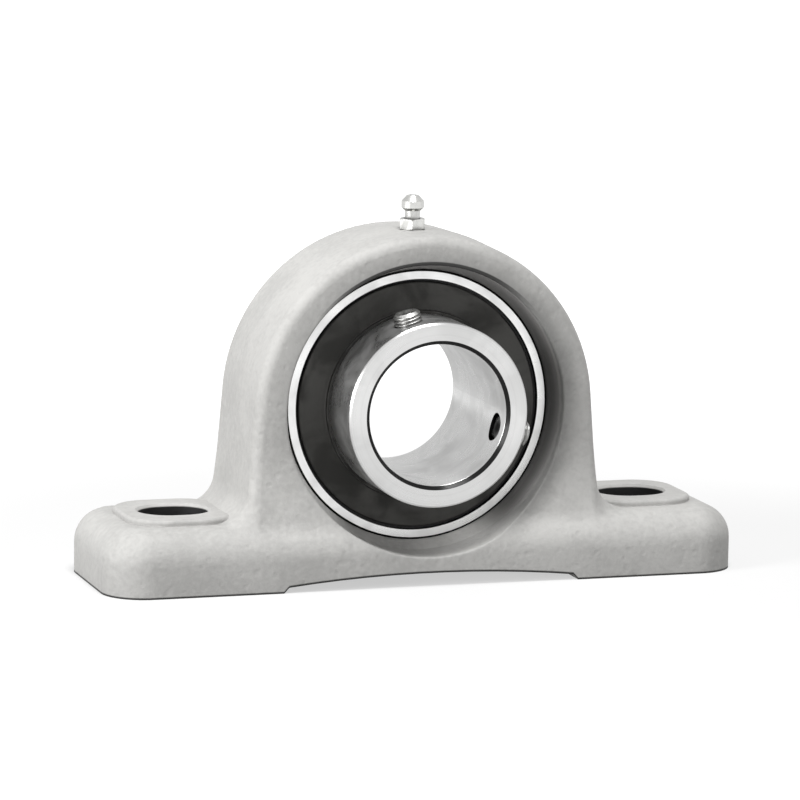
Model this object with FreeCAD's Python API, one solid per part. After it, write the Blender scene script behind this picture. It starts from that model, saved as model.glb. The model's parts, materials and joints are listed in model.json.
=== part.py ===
"""Pillow block bearing: cast foot housing with a self-aligning ball bearing insert.

Frame: X along the foot, Y along the shaft axis with the set screw side at -Y, Z up.
The origin lies on the base plane, under the centre of the bearing. Millimetres.
"""
import FreeCAD, Part
import math
import os

from FreeCAD import Vector

# Drawing allowances: cutters run past faces, and picked edges lie this near or this far in
cutter_overrun = 1.0
pick_tolerance = 0.01
rim_margin = 1.0

# Insert bearing, standard sizes for a 40 mm shaft
bore_diameter = 40.0
groove_wall = 4.0
ball_diameter = 12.0
ball_count = 9
shoulder_height = 2.15
groove_conformity = 1.04
long_side = 30.2
short_side = 19.0
bore_chamfer = 1.0
ring_edge_chamfer = 0.5

# Clearances inside the bearing, all radial
race_clearance = 0.03
pocket_clearance = 0.10
seal_lip_clearance = 0.05
seat_clearance = 0.03

# Outer ring section
seal_seat_depth = 2.0
oil_hole_diameter = 1.8
oil_hole_margin = 1.4
oil_hole_angles = (60.0, 240.0)

# Seals and flingers, the same on both sides
seal_core_thickness = 0.4
seal_rubber_thickness = 0.8
seal_lip_thickness = 0.5
seal_lip_height = 2.2
seal_bead_width = 0.5
flinger_thickness = 0.8
flinger_recess = 0.15
flinger_hub_length = 1.6
flinger_rim_clearance = 0.7
flinger_lip_gap = 0.3
flinger_lip_length = 0.45
flinger_bend_radius = 0.6

# Ribbon cage and its rivets
cage_thickness = 0.8
cage_width = 6.2
cage_seal_gap = 0.7
rivet_diameter = 1.8
rivet_head_diameter = 3.0
rivet_head_height = 0.6
rivet_clearance = 0.02

# Set screws of the inner ring
set_screw_diameter = 8.0
set_screw_length = 8.5
set_screw_clearance = 0.05
set_screw_end_distance = 8.0
set_screw_recess = 0.8
set_screw_angles = (-15.0, 105.0)
set_screw_chamfer = 0.8
set_screw_cup_diameter = 5.0
set_screw_cup_depth = 1.0
set_screw_socket = 4.0
set_screw_socket_depth = 4.0

# Pin that stops the outer ring from turning in the housing
pin_diameter = 3.0
pin_depth = 2.0
pin_reach = 2.0
pin_clearance = 0.05
pin_end_clearance = 0.2
pin_end_chamfer = 0.3
pin_angle = 180.0
align_angle = 2.0

# Housing casting
base_wall = 9.2
foot_end_margin = 24.5
foot_width = 54.0
foot_thickness = 18.4
foot_corner_radius = 12.0
foot_edge_radius = 9.5
bolt_stand_off = 18.3
slot_width = 17.0
slot_travel = 3.0
slot_chamfer = 0.7
pad_height = 1.7
pad_width = 34.0
pad_end_margin = 5.5
pad_corner_radius = 11.0
pad_edge_radius = 1.0
body_width = 39.0
arch_wall = 9.4
arch_flank_wall = 10.2
flank_lean = 4.5
casting_draft = 1.5
face_edge_radius = 3.0
skirt_drop = 9.2
skirt_bottom = 7.0
foot_blend_radius = 9.0
relief_margin = 25.0
relief_step = 1.6
relief_step_length = 1.5
relief_height = 3.9

# Bearing seat and mouth of the housing
seat_set_back = 0.3
mouth_clearance = 0.8
mouth_taper_length = 4.5
mouth_edge_radius = 0.6
loading_slot_clearance = 0.3
loading_slot_depth = 0.15
grease_groove_width = 4.6
grease_groove_depth = 1.2
grease_drill_diameter = 3.2

# Grease nipple
nipple_offset = -3.2
nipple_spot_depth = 0.15
nipple_spot_clearance = 0.5
nipple_thread_diameter = 6.0
nipple_thread_length = 5.5
nipple_thread_chamfer = 0.5
nipple_thread_clearance = 0.05
nipple_hole_depth = 6.5
nipple_hex = 7.0
nipple_hex_height = 3.0
nipple_hex_turn = 12.3
nipple_neck_diameter = 4.4
nipple_neck_height = 2.2
nipple_head_diameter = 6.4
nipple_head_flare = 0.9
nipple_head_height = 4.4
nipple_tip_diameter = 3.4
nipple_tip_height = 1.6
nipple_inlet_diameter = 1.9
nipple_inlet_length = 0.4
nipple_ball_diameter = 2.4
nipple_ball_clearance = 0.03
nipple_bore_clearance = 0.15
nipple_bore_floor = 1.0
nipple_outlet_diameter = 1.4
nipple_spring_wire = 0.30
nipple_spring_clearance = 0.10
nipple_spring_turns = 7

# Sizes worked out from those above
bore_radius = bore_diameter / 2
ball_radius = ball_diameter / 2
pitch_radius = bore_radius + groove_wall + ball_radius
inner_radius = pitch_radius - ball_radius + shoulder_height
land_radius = pitch_radius + ball_radius - shoulder_height
counterbore_radius = land_radius + seal_seat_depth
ring_radius = pitch_radius + ball_radius + groove_wall
seal_shoulder = ball_radius + pocket_clearance + cage_thickness + cage_seal_gap
seal_outside = seal_shoulder + seal_core_thickness + seal_rubber_thickness
flinger_lip_end = seal_outside + flinger_lip_gap
flinger_inside = flinger_lip_end + flinger_lip_length
flinger_outside = flinger_inside + flinger_thickness
ring_half_width = flinger_outside + flinger_recess
ring_face_radius = math.sqrt(ring_radius ** 2 - ring_half_width ** 2)
oil_hole_offset = seal_shoulder - oil_hole_margin
seat_half_width = ring_half_width - seat_set_back
seat_radius = ring_radius + seat_clearance
seat_edge_radius = math.sqrt(seat_radius ** 2 - seat_half_width ** 2)
mouth_radius = seat_radius + mouth_clearance
ball_step = 360.0 / ball_count
groove_radius = ball_radius * groove_conformity
cage_inner_radius = pitch_radius - cage_width / 2
cage_outer_radius = pitch_radius + cage_width / 2
pin_radius = pin_diameter / 2
shaft_height = ring_radius + base_wall
arch_radius = ring_radius + arch_flank_wall
arch_centre = shaft_height + arch_wall - arch_flank_wall
arch_crown = arch_centre + arch_radius
bolt_x = arch_radius + bolt_stand_off
foot_half_length = bolt_x + foot_end_margin
foot_half_width = foot_width / 2
body_half_width = body_width / 2
skirt_top = shaft_height - skirt_drop
relief_half_length = bolt_x - relief_margin
slot_length = slot_width + slot_travel
pad_top = foot_thickness + pad_height
nipple_seat = arch_crown - nipple_spot_depth
nipple_height = nipple_hex_height + nipple_neck_height + nipple_head_height
nipple_ball_radius = nipple_ball_diameter / 2
nipple_bore_radius = nipple_ball_radius + nipple_bore_clearance
nipple_seat_drop = math.sqrt(nipple_ball_radius ** 2 - (nipple_inlet_diameter / 2) ** 2)
nipple_ball_height = nipple_height - nipple_inlet_length - nipple_seat_drop - nipple_ball_clearance
ORIGIN = Vector(0, 0, 0)
Y_AXIS = Vector(0, 1, 0)
Z_AXIS = Vector(0, 0, 1)
CENTRE = Vector(0, 0, shaft_height)


# Shapes used by more than one piece

def polygon(corners):
    """Closed wire through a list of vectors."""
    return Part.makePolygon(corners + corners[:1])


def arc(start, middle, end):
    """Arc edge through three vectors."""
    return Part.Arc(start, middle, end).toShape()


def on_section(radius, y):
    """Point of the half plane through the shaft axis in which ring profiles are drawn."""
    return Vector(radius, y, shaft_height)


def about_shaft(outline):
    """Solid turned about the shaft axis from a closed wire in the section plane."""
    return Part.Face(outline).revolve(CENTRE, Y_AXIS, 360)


def shaft_profile(points):
    """Solid turned about the shaft axis from a list of (radius, y) pairs."""
    return about_shaft(polygon([on_section(r, y) for r, y in points]))


def shaft_cylinder(radius, y_low, y_high):
    """Solid cylinder on the shaft axis between two depths."""
    return Part.makeCylinder(radius, y_high - y_low, CENTRE + Vector(0, y_low, 0), Y_AXIS)


def turned(points):
    """Solid turned about the Z axis from a list of (radius, height) pairs."""
    outline = polygon([Vector(r, 0, z) for r, z in points])
    return Part.Face(outline).revolve(ORIGIN, Z_AXIS, 360)


def rod(radius, low, high):
    """Cylinder on the Z axis between two heights."""
    return Part.makeCylinder(radius, high - low, Vector(0, 0, low), Z_AXIS)


def hex_prism(across_flats, low, high):
    """Hexagonal prism on the Z axis between two heights."""
    corner_radius = across_flats / math.sqrt(3)
    corners = []
    for side in range(6):
        angle = math.radians(60 * side)
        corners.append(Vector(corner_radius * math.cos(angle), corner_radius * math.sin(angle), low))
    return Part.Face(polygon(corners)).extrude(Z_AXIS * (high - low))


def direction_at(angle):
    """Unit vector square to the shaft axis, the angle counted from +X towards +Z."""
    return Vector(math.cos(math.radians(angle)), 0, math.sin(math.radians(angle)))


def laid_radially(shape, angle, y):
    """Copy of a shape drawn on the Z axis, laid along a radius of the bearing."""
    turn = FreeCAD.Rotation(Z_AXIS, direction_at(angle))
    return shape.transformed(FreeCAD.Placement(CENTRE + Vector(0, y, 0), turn).toMatrix(), True)


def raised(shape, x, y, z):
    """Copy of a shape moved from the origin to a place."""
    return shape.transformed(FreeCAD.Placement(Vector(x, y, z), FreeCAD.Rotation()).toMatrix(), True)


def mirrored_in_y(shape):
    """Copy of the shape on the other side of the plane y = 0."""
    return shape.mirror(ORIGIN, Y_AXIS)


def middle_of(edge):
    """Point half way along an edge."""
    return edge.valueAt((edge.FirstParameter + edge.LastParameter) / 2)


def edges_where(shape, test):
    """Edges of the shape whose middle point passes the test."""
    return [edge for edge in shape.Edges if test(middle_of(edge))]


# Housing casting

def arch_wire(y):
    """Front outline of the arch at depth y, drawn in by the casting draft."""
    radius = arch_radius - abs(y) * math.tan(math.radians(casting_draft))
    lean = math.radians(flank_lean)
    tangent_x = radius * math.cos(lean)
    tangent_z = arch_centre + radius * math.sin(lean)
    foot_x = tangent_x + tangent_z * math.tan(lean)
    right_foot = Vector(foot_x, y, 0)
    right_tangent = Vector(tangent_x, y, tangent_z)
    left_foot = Vector(-foot_x, y, 0)
    left_tangent = Vector(-tangent_x, y, tangent_z)
    crown = Vector(0, y, arch_centre + radius)
    edges = [
        Part.makeLine(right_foot, right_tangent),
        arc(right_tangent, crown, left_tangent),
        Part.makeLine(left_tangent, left_foot),
        Part.makeLine(left_foot, right_foot),
    ]
    return Part.Wire(edges)


def skirt_solid():
    """Side outline carried along X: flat faces that sweep out to the width of the foot."""
    reach = foot_half_width - body_half_width
    drop = skirt_top - skirt_bottom
    sweep_radius = (drop ** 2 + reach ** 2) / (2 * reach)
    middle_drop = drop / 2
    middle_reach = sweep_radius - math.sqrt(sweep_radius ** 2 - middle_drop ** 2)
    above_arch = arch_crown + cutter_overrun
    x = -foot_half_length
    edges = []
    crests = []
    bases = []
    for side in (-1, 1):
        crest = Vector(x, side * body_half_width, above_arch)
        start = Vector(x, side * body_half_width, skirt_top)
        middle = Vector(x, side * (body_half_width + middle_reach), skirt_top - middle_drop)
        end = Vector(x, side * foot_half_width, skirt_bottom)
        base = Vector(x, side * foot_half_width, 0)
        edges += [Part.makeLine(crest, start), arc(start, middle, end), Part.makeLine(end, base)]
        crests.append(crest)
        bases.append(base)
    edges += [Part.makeLine(*crests), Part.makeLine(*bases)]
    outline = Part.Wire(Part.__sortEdges__(edges))
    return Part.Face(outline).extrude(Vector(2 * foot_half_length, 0, 0))


def arch_body():
    """Drafted arch cut to the skirt outline, with the edges of both faces rounded."""
    front = Part.makeLoft([arch_wire(-foot_half_width), arch_wire(0)], True, True)
    back = Part.makeLoft([arch_wire(0), arch_wire(foot_half_width)], True, True)
    body = front.fuse(back).common(skirt_solid()).removeSplitter()
    rim = []
    for edge in body.Edges:
        on_face = min(abs(vertex.Point.y) for vertex in edge.Vertexes) > body_half_width - pick_tolerance
        across = abs(middle_of(edge).x) < pick_tolerance and middle_of(edge).z < shaft_height
        if on_face and not across:
            rim.append(edge)
    return body.makeFillet(face_edge_radius, rim)


def rounded_plate(length, width, corner_radius, low, high, x):
    """Plate between two heights, centred at x, with rounded corners in plan."""
    plate = Part.makeBox(length, width, high - low, Vector(x - length / 2, -width / 2, low))
    uprights = [edge for edge in plate.Edges if abs(edge.tangentAt(edge.FirstParameter).z) > 0.9]
    return plate.makeFillet(corner_radius, uprights)


def rounded_top(plate, top, radius):
    """Plate with the edge round its upper face rounded."""
    return plate.makeFillet(radius, edges_where(plate, lambda point: abs(point.z - top) < pick_tolerance))


def foot_plate():
    """The long foot, its upper edge well rounded."""
    length = 2 * foot_half_length
    plate = rounded_plate(length, foot_width, foot_corner_radius, 0, foot_thickness, 0)
    return rounded_top(plate, foot_thickness, foot_edge_radius)


def blended_casting():
    """Arch and foot as one casting, with a concave blend where they meet."""
    casting = arch_body().fuse(foot_plate()).removeSplitter()
    low = foot_thickness - foot_edge_radius / 2
    reach = arch_radius + foot_blend_radius

    def in_corner(point):
        in_height = low < point.z < foot_thickness + pick_tolerance
        return in_height and abs(point.x) < reach and abs(point.y) < foot_half_width - rim_margin

    return casting.makeFillet(foot_blend_radius, edges_where(casting, in_corner))


def bolt_pad(x):
    """Raised seat for a bolt head and its washer."""
    length = slot_length + 2 * pad_end_margin
    plate = rounded_plate(length, pad_width, pad_corner_radius, foot_thickness / 2, pad_top, x)
    return rounded_top(plate, pad_top, pad_edge_radius)


def bolt_slot(x):
    """Cutter for a bolt slot, with its long way along X."""
    half_width = slot_width / 2
    half_straight = slot_travel / 2
    low = -cutter_overrun
    points = {}
    for side in (-1, 1):
        points[side] = [
            Vector(x + side * half_straight, -half_width, low),
            Vector(x + side * slot_length / 2, 0, low),
            Vector(x + side * half_straight, half_width, low),
        ]
    edges = [
        arc(*points[1]),
        Part.makeLine(points[1][2], points[-1][2]),
        arc(*points[-1]),
        Part.makeLine(points[-1][0], points[1][0]),
    ]
    outline = Part.Wire(Part.__sortEdges__(edges))
    return Part.Face(outline).extrude(Vector(0, 0, pad_top + 2 * cutter_overrun))


def base_relief():
    """Shallow arch cut from the underside between the two bolting faces."""
    foot_x = relief_half_length
    step_x = relief_half_length - relief_step_length
    y = -foot_half_width - cutter_overrun
    low = -cutter_overrun
    left = [Vector(-foot_x, y, low), Vector(-foot_x, y, 0), Vector(-step_x, y, relief_step)]
    right = [Vector(step_x, y, relief_step), Vector(foot_x, y, 0), Vector(foot_x, y, low)]
    edges = [
        Part.makeLine(left[0], left[1]),
        Part.makeLine(left[1], left[2]),
        arc(left[2], Vector(0, y, relief_height), right[0]),
        Part.makeLine(right[0], right[1]),
        Part.makeLine(right[1], right[2]),
        Part.makeLine(right[2], left[0]),
    ]
    return Part.Face(Part.Wire(edges)).extrude(Vector(0, foot_width + 2 * cutter_overrun, 0))


def bearing_cavity():
    """Cutter for the spherical seat, the taper beside it and the open mouth at both faces."""
    taper_end = seat_half_width + mouth_taper_length
    end = foot_half_width + cutter_overrun
    edges = [
        Part.makeLine(on_section(0, -end), on_section(mouth_radius, -end)),
        Part.makeLine(on_section(mouth_radius, -end), on_section(mouth_radius, -taper_end)),
        Part.makeLine(on_section(mouth_radius, -taper_end), on_section(seat_edge_radius, -seat_half_width)),
        arc(on_section(seat_edge_radius, -seat_half_width), on_section(seat_radius, 0),
            on_section(seat_edge_radius, seat_half_width)),
        Part.makeLine(on_section(seat_edge_radius, seat_half_width), on_section(mouth_radius, taper_end)),
        Part.makeLine(on_section(mouth_radius, taper_end), on_section(mouth_radius, end)),
        Part.makeLine(on_section(mouth_radius, end), on_section(0, end)),
        Part.makeLine(on_section(0, end), on_section(0, -end)),
    ]
    return about_shaft(Part.Wire(edges))


def loading_slots():
    """Cutter for the two notches at the back, where the bearing is put in on its edge."""
    half_height = ring_half_width + loading_slot_clearance
    back = seat_half_width + mouth_taper_length
    reach = seat_radius + loading_slot_depth
    corner = Vector(-reach, 0, shaft_height - half_height)
    slab = Part.makeBox(2 * reach, back, 2 * half_height, corner)
    return slab.common(shaft_cylinder(reach, 0, back))


def pin_slot():
    """Cutter for the slot that holds the pin and lets it swing fore and aft."""
    half_width = pin_radius + pin_clearance
    tip = ring_radius + pin_reach + pin_end_clearance
    swing = tip * math.sin(math.radians(align_angle)) + pin_end_clearance
    low = ring_radius - pin_depth
    cutter = Part.makeBox(2 * half_width, 2 * swing, tip - low, Vector(-half_width, -swing, low))
    for side in (-1, 1):
        end = Part.makeCylinder(half_width, tip - low, Vector(0, side * swing, low), Z_AXIS)
        cutter = cutter.fuse(end)
    return laid_radially(cutter, pin_angle, 0)


def grease_passages():
    """Cutters for the groove round the seat, the drilling to it and the nipple's hole."""
    groove_middle = math.sqrt(seat_radius ** 2 - oil_hole_offset ** 2)
    floor = groove_middle + grease_groove_depth
    groove_front = -oil_hole_offset - grease_groove_width / 2
    groove = shaft_cylinder(floor, groove_front, groove_front + grease_groove_width)
    hole_bottom = nipple_seat - nipple_hole_depth
    drill = rod(grease_drill_diameter / 2, shaft_height + seat_edge_radius, hole_bottom + cutter_overrun)
    hole_radius = nipple_thread_diameter / 2 + nipple_thread_clearance
    hole = rod(hole_radius, hole_bottom, nipple_seat + cutter_overrun)
    spot_radius = nipple_hex / math.sqrt(3) + nipple_spot_clearance
    spot = rod(spot_radius, nipple_seat, nipple_seat + 2 * cutter_overrun)
    upright = raised(drill.fuse(hole).fuse(spot), 0, nipple_offset, 0)
    return groove.fuse(upright)


def housing():
    """Cast housing with its seat, mouth, slots, pads, grease passages and base relief."""
    casting = blended_casting()
    for x in (-bolt_x, bolt_x):
        casting = casting.fuse(bolt_pad(x))
    casting = casting.cut(base_relief()).cut(bearing_cavity())

    def on_mouth_edge(point):
        radius = math.hypot(point.x, point.z - shaft_height)
        on_radius = abs(radius - mouth_radius) < pick_tolerance
        return on_radius and abs(point.y) > body_half_width - pick_tolerance

    casting = casting.makeFillet(mouth_edge_radius, edges_where(casting, on_mouth_edge))
    for cutter in (bolt_slot(-bolt_x), bolt_slot(bolt_x), loading_slots(), pin_slot(), grease_passages()):
        casting = casting.cut(cutter)

    def on_slot_edge(point):
        along = abs(abs(point.x) - bolt_x) < slot_length / 2 + pick_tolerance
        across = abs(point.y) < slot_width / 2 + pick_tolerance
        return along and across and min(abs(point.z), abs(point.z - pad_top)) < pick_tolerance

    return casting.makeChamfer(slot_chamfer, edges_where(casting, on_slot_edge))


# Grease nipple, drawn on the Z axis from its seat and then raised onto the arch

def set_in_arch(shape):
    """Copy of a nipple piece moved to the top of the arch."""
    return raised(shape, 0, nipple_offset, nipple_seat)


def grease_nipple():
    """Straight hexagon nipple with its ball seat, spring bore and outlet."""
    thread_radius = nipple_thread_diameter / 2
    neck_radius = nipple_neck_diameter / 2
    head_radius = nipple_head_diameter / 2
    head_low = nipple_hex_height + nipple_neck_height
    tip_low = nipple_height - nipple_tip_height
    stem = turned([
        (0, -nipple_thread_length),
        (thread_radius - nipple_thread_chamfer, -nipple_thread_length),
        (thread_radius, nipple_thread_chamfer - nipple_thread_length),
        (thread_radius, 0),
        (neck_radius, 0),
        (neck_radius, head_low),
        (head_radius, head_low + nipple_head_flare),
        (head_radius, tip_low),
        (nipple_tip_diameter / 2, nipple_height),
        (0, nipple_height),
    ])
    corner_radius = nipple_hex / math.sqrt(3)
    crown = corner_radius - nipple_hex / 2
    barrel = turned([
        (0, 0),
        (nipple_hex / 2, 0),
        (corner_radius, crown / 2),
        (corner_radius, nipple_hex_height - crown / 2),
        (nipple_hex / 2, nipple_hex_height),
        (0, nipple_hex_height),
    ])
    hexagon = hex_prism(nipple_hex, 0, nipple_hex_height)
    hexagon.rotate(ORIGIN, Z_AXIS, nipple_hex_turn)
    body = stem.fuse(hexagon.common(barrel))
    inlet_radius = nipple_inlet_diameter / 2
    inlet_low = nipple_height - nipple_inlet_length
    cone_length = nipple_bore_radius - inlet_radius
    low = -nipple_thread_length - cutter_overrun
    high = nipple_height + cutter_overrun
    passage = turned([
        (0, low),
        (nipple_outlet_diameter / 2, low),
        (nipple_outlet_diameter / 2, nipple_bore_floor),
        (nipple_bore_radius, nipple_bore_floor),
        (nipple_bore_radius, inlet_low - cone_length),
        (inlet_radius, inlet_low),
        (inlet_radius, high),
        (0, high),
    ])
    return set_in_arch(body.cut(passage))


def nipple_ball():
    """Check ball that closes the nipple from inside."""
    return set_in_arch(Part.makeSphere(nipple_ball_radius, Vector(0, 0, nipple_ball_height)))


def nipple_spring():
    """Coil spring between the floor of the nipple's bore and the check ball."""
    wire_radius = nipple_spring_wire / 2
    coil_radius = nipple_bore_radius - wire_radius - nipple_spring_clearance
    low = nipple_bore_floor + wire_radius
    on_ball = math.sqrt((nipple_ball_radius + wire_radius) ** 2 - coil_radius ** 2)
    high = nipple_ball_height - on_ball - nipple_ball_clearance
    helix = Part.makeHelix((high - low) / nipple_spring_turns, high - low, coil_radius)
    section = Part.Wire(Part.makeCircle(wire_radius, Vector(coil_radius, 0, 0), Y_AXIS))
    coil = Part.Wire(helix.Edges).makePipeShell([section], True, True)
    return set_in_arch(raised(coil, 0, 0, low))


# Rings

def raceway_side(groove_centre, land):
    """Distance from the middle plane at which a raceway groove meets its land."""
    return math.sqrt(groove_radius ** 2 - (land - groove_centre) ** 2)


def outer_ring():
    """Outer ring with a spherical outside, deep groove, seal seats, oil holes and pin hole."""
    groove_floor = pitch_radius + ball_radius + race_clearance
    groove_side = raceway_side(groove_floor - groove_radius, land_radius)
    shoulder_y = ring_half_width - ring_edge_chamfer
    shoulder_radius = math.sqrt(ring_radius ** 2 - shoulder_y ** 2)
    half = [
        (land_radius, groove_side),
        (land_radius, seal_shoulder),
        (counterbore_radius, seal_shoulder),
        (counterbore_radius, ring_half_width),
        (ring_face_radius - ring_edge_chamfer, ring_half_width),
        (shoulder_radius, shoulder_y),
    ]
    back = [on_section(r, y) for r, y in half]
    front = [on_section(r, -y) for r, y in half]
    edges = [
        arc(front[0], on_section(groove_floor, 0), back[0]),
        arc(front[-1], on_section(ring_radius, 0), back[-1]),
    ]
    for points in (front, back):
        edges += [Part.makeLine(a, b) for a, b in zip(points, points[1:])]
    ring = about_shaft(Part.Wire(Part.__sortEdges__(edges)))
    for angle in oil_hole_angles:
        hole = rod(oil_hole_diameter / 2, land_radius - cutter_overrun, ring_radius + cutter_overrun)
        ring = ring.cut(laid_radially(hole, angle, -oil_hole_offset))
    pin_floor = ring_radius - pin_depth - pin_end_clearance
    pin_hole = rod(pin_radius + pin_clearance, pin_floor, ring_radius + cutter_overrun)
    return ring.cut(laid_radially(pin_hole, pin_angle, 0))


def set_screw_y():
    """Depth of both set screws, counted from the long side's end face."""
    return set_screw_end_distance - long_side


def inner_ring():
    """Wide inner ring with its groove, chamfered bore and tapped holes."""
    groove_floor = pitch_radius - ball_radius - race_clearance
    groove_side = raceway_side(groove_floor + groove_radius, inner_radius)
    corners = {}
    for side, end in ((-1, long_side), (1, short_side)):
        points = [
            (inner_radius, groove_side),
            (inner_radius, end - ring_edge_chamfer),
            (inner_radius - ring_edge_chamfer, end),
            (bore_radius + bore_chamfer, end),
            (bore_radius, end - bore_chamfer),
        ]
        corners[side] = [on_section(r, side * y) for r, y in points]
    edges = [arc(corners[-1][0], on_section(groove_floor, 0), corners[1][0])]
    for points in corners.values():
        edges += [Part.makeLine(a, b) for a, b in zip(points, points[1:])]
    edges.append(Part.makeLine(corners[-1][-1], corners[1][-1]))
    ring = about_shaft(Part.Wire(Part.__sortEdges__(edges)))
    hole_radius = set_screw_diameter / 2 + set_screw_clearance
    for angle in set_screw_angles:
        hole = rod(hole_radius, bore_radius / 2, inner_radius + cutter_overrun)
        ring = ring.cut(laid_radially(hole, angle, set_screw_y()))
    return ring


def set_screw(angle):
    """Cup point set screw with a hexagon socket, just clear of the bore."""
    radius = set_screw_diameter / 2
    cup_radius = set_screw_cup_diameter / 2
    low = bore_radius + set_screw_recess
    high = low + set_screw_length
    screw = turned([
        (0, low + set_screw_cup_depth),
        (cup_radius, low),
        (radius - set_screw_chamfer, low),
        (radius, low + set_screw_chamfer),
        (radius, high - set_screw_chamfer),
        (radius - set_screw_chamfer, high),
        (0, high),
    ])
    screw = screw.cut(hex_prism(set_screw_socket, high - set_screw_socket_depth, high + cutter_overrun))
    return laid_radially(screw, angle, set_screw_y())


def locating_pin():
    """Loose pin half in the outer ring and half in the housing's slot."""
    low = ring_radius - pin_depth
    high = ring_radius + pin_reach
    blunt = pin_radius - pin_end_chamfer
    pin = turned([
        (0, low),
        (blunt, low),
        (pin_radius, low + pin_end_chamfer),
        (pin_radius, high - pin_end_chamfer),
        (blunt, high),
        (0, high),
    ])
    return laid_radially(pin, pin_angle, 0)


# Seals, drawn for the back and mirrored for the front

def seal_core():
    """Flat steel insert that stiffens the rubber seal and rests on the ring's shoulder."""
    inner = inner_radius + seal_lip_height
    outer = counterbore_radius - seal_bead_width
    outside = seal_shoulder + seal_core_thickness
    return shaft_profile([
        (inner, seal_shoulder),
        (outer, seal_shoulder),
        (outer, outside),
        (inner, outside),
    ])


def seal():
    """Rubber seal with a bead in the outer ring and a thin lip at the inner ring."""
    lip = inner_radius + seal_lip_clearance
    lip_root = inner_radius + seal_lip_height
    bead = counterbore_radius - seal_bead_width
    core_face = seal_shoulder + seal_core_thickness
    lip_inside = seal_outside - seal_lip_thickness
    return shaft_profile([
        (lip, lip_inside),
        (lip_root, core_face),
        (bead, core_face),
        (bead, seal_shoulder),
        (counterbore_radius, seal_shoulder),
        (counterbore_radius, seal_outside),
        (lip, seal_outside),
    ])


def flinger():
    """Pressed disc on the inner ring that covers the seal, with a hub and a turned-in lip."""
    hub_radius = inner_radius + flinger_thickness
    hub_end = flinger_inside + flinger_hub_length
    rim = counterbore_radius - flinger_rim_clearance
    disc = shaft_profile([
        (inner_radius, flinger_inside),
        (rim - flinger_thickness, flinger_inside),
        (rim - flinger_thickness, flinger_lip_end),
        (rim, flinger_lip_end),
        (rim, flinger_outside),
        (hub_radius, flinger_outside),
        (hub_radius, hub_end),
        (inner_radius, hub_end),
    ])

    def on_bend(point):
        return abs(point.y - flinger_outside) < pick_tolerance

    bends = [edge for edge in edges_where(disc, on_bend) if len(edge.Vertexes) == 1]
    return disc.makeFillet(flinger_bend_radius, bends)


# Cage, rivets and balls

def ball_angle(index):
    """Angle of a ball, the first one at the top."""
    return 90.0 + index * ball_step


def cage_half():
    """Pressed ribbon with a round pocket over each ball and flat lands between them."""
    pocket_radius = ball_radius + pocket_clearance
    outer_radius = pocket_radius + cage_thickness
    ribbon = shaft_profile([
        (cage_inner_radius, 0),
        (cage_outer_radius, 0),
        (cage_outer_radius, cage_thickness),
        (cage_inner_radius, cage_thickness),
    ])
    above = outer_radius + cutter_overrun
    sleeve = shaft_profile([
        (cage_inner_radius, 0),
        (cage_outer_radius, 0),
        (cage_outer_radius, above),
        (cage_inner_radius, above),
    ])
    centres = [CENTRE + direction_at(ball_angle(k)) * pitch_radius for k in range(ball_count)]
    bowls = [Part.makeSphere(outer_radius, centre).common(sleeve) for centre in centres]
    half = ribbon.fuse(bowls)
    half = half.cut([Part.makeSphere(pocket_radius, centre) for centre in centres])
    hole_radius = rivet_diameter / 2 + rivet_clearance
    holes = [Part.makeCylinder(hole_radius, 2 * cage_thickness, place - Y_AXIS * cage_thickness / 2, Y_AXIS)
             for place in rivet_places()]
    return half.cut(holes)


def rivet_places():
    """Points of the middle plane half way between neighbouring balls."""
    return [CENTRE + direction_at(ball_angle(k + 0.5)) * pitch_radius for k in range(ball_count)]


def cage_rivets():
    """The rivets that hold the two cage halves together, as one group of solids."""
    shank = rivet_diameter / 2
    head = rivet_head_diameter / 2
    top = cage_thickness + rivet_head_height
    profile = [(0, -top), (head / 2, -top), (head, -cage_thickness - rivet_head_height / 2),
               (head, -cage_thickness), (shank, -cage_thickness)]
    upper = [(r, -y) for r, y in reversed(profile)]
    rivet = turned(profile + upper)
    turn = FreeCAD.Rotation(Z_AXIS, Y_AXIS)
    places = [FreeCAD.Placement(place, turn).toMatrix() for place in rivet_places()]
    return Part.makeCompound([rivet.transformed(place, True) for place in places])


def ball(index):
    """One bearing ball in its pocket."""
    return Part.makeSphere(ball_radius, CENTRE + direction_at(ball_angle(index)) * pitch_radius)


def pieces():
    """Every piece of the bearing unit by name."""
    made = {
        "housing": housing(),
        "grease_nipple": grease_nipple(),
        "nipple_ball": nipple_ball(),
        "nipple_spring": nipple_spring(),
        "locating_pin": locating_pin(),
        "outer_ring": outer_ring(),
        "inner_ring": inner_ring(),
        "seal_front": mirrored_in_y(seal()),
        "seal_rear": seal(),
        "seal_core_front": mirrored_in_y(seal_core()),
        "seal_core_rear": seal_core(),
        "flinger_front": mirrored_in_y(flinger()),
        "flinger_rear": flinger(),
        "cage_front": mirrored_in_y(cage_half()),
        "cage_rear": cage_half(),
        "cage_rivets": cage_rivets(),
    }
    for index in range(ball_count):
        made[f"ball_{index + 1}"] = ball(index)
    for index, angle in enumerate(set_screw_angles):
        made[f"set_screw_{index + 1}"] = set_screw(angle)
    return made


def main():
    """Write one STEP file for each piece."""
    os.makedirs("parts", exist_ok=True)
    for name, shape in pieces().items():
        if not shape.isValid() or not shape.Solids:
            raise ValueError(f"{name} isn't a valid solid")
        shape.exportStep(f"parts/{name}.step")
        print(f"{name}: {len(shape.Solids)} solid(s), {shape.Volume / 1000:.2f} cm3")


main()
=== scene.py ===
"""Looks of a pillow block bearing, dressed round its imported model.

Metres, in the model's own frame: X along the foot, Y along the shaft with the set screws at -Y, Z up.
Every mesh made here is worked out in that frame, so each object sits at the origin.
"""
import json
import logging
import math
from abc import ABC, abstractmethod
from dataclasses import dataclass
from enum import Enum

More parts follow.
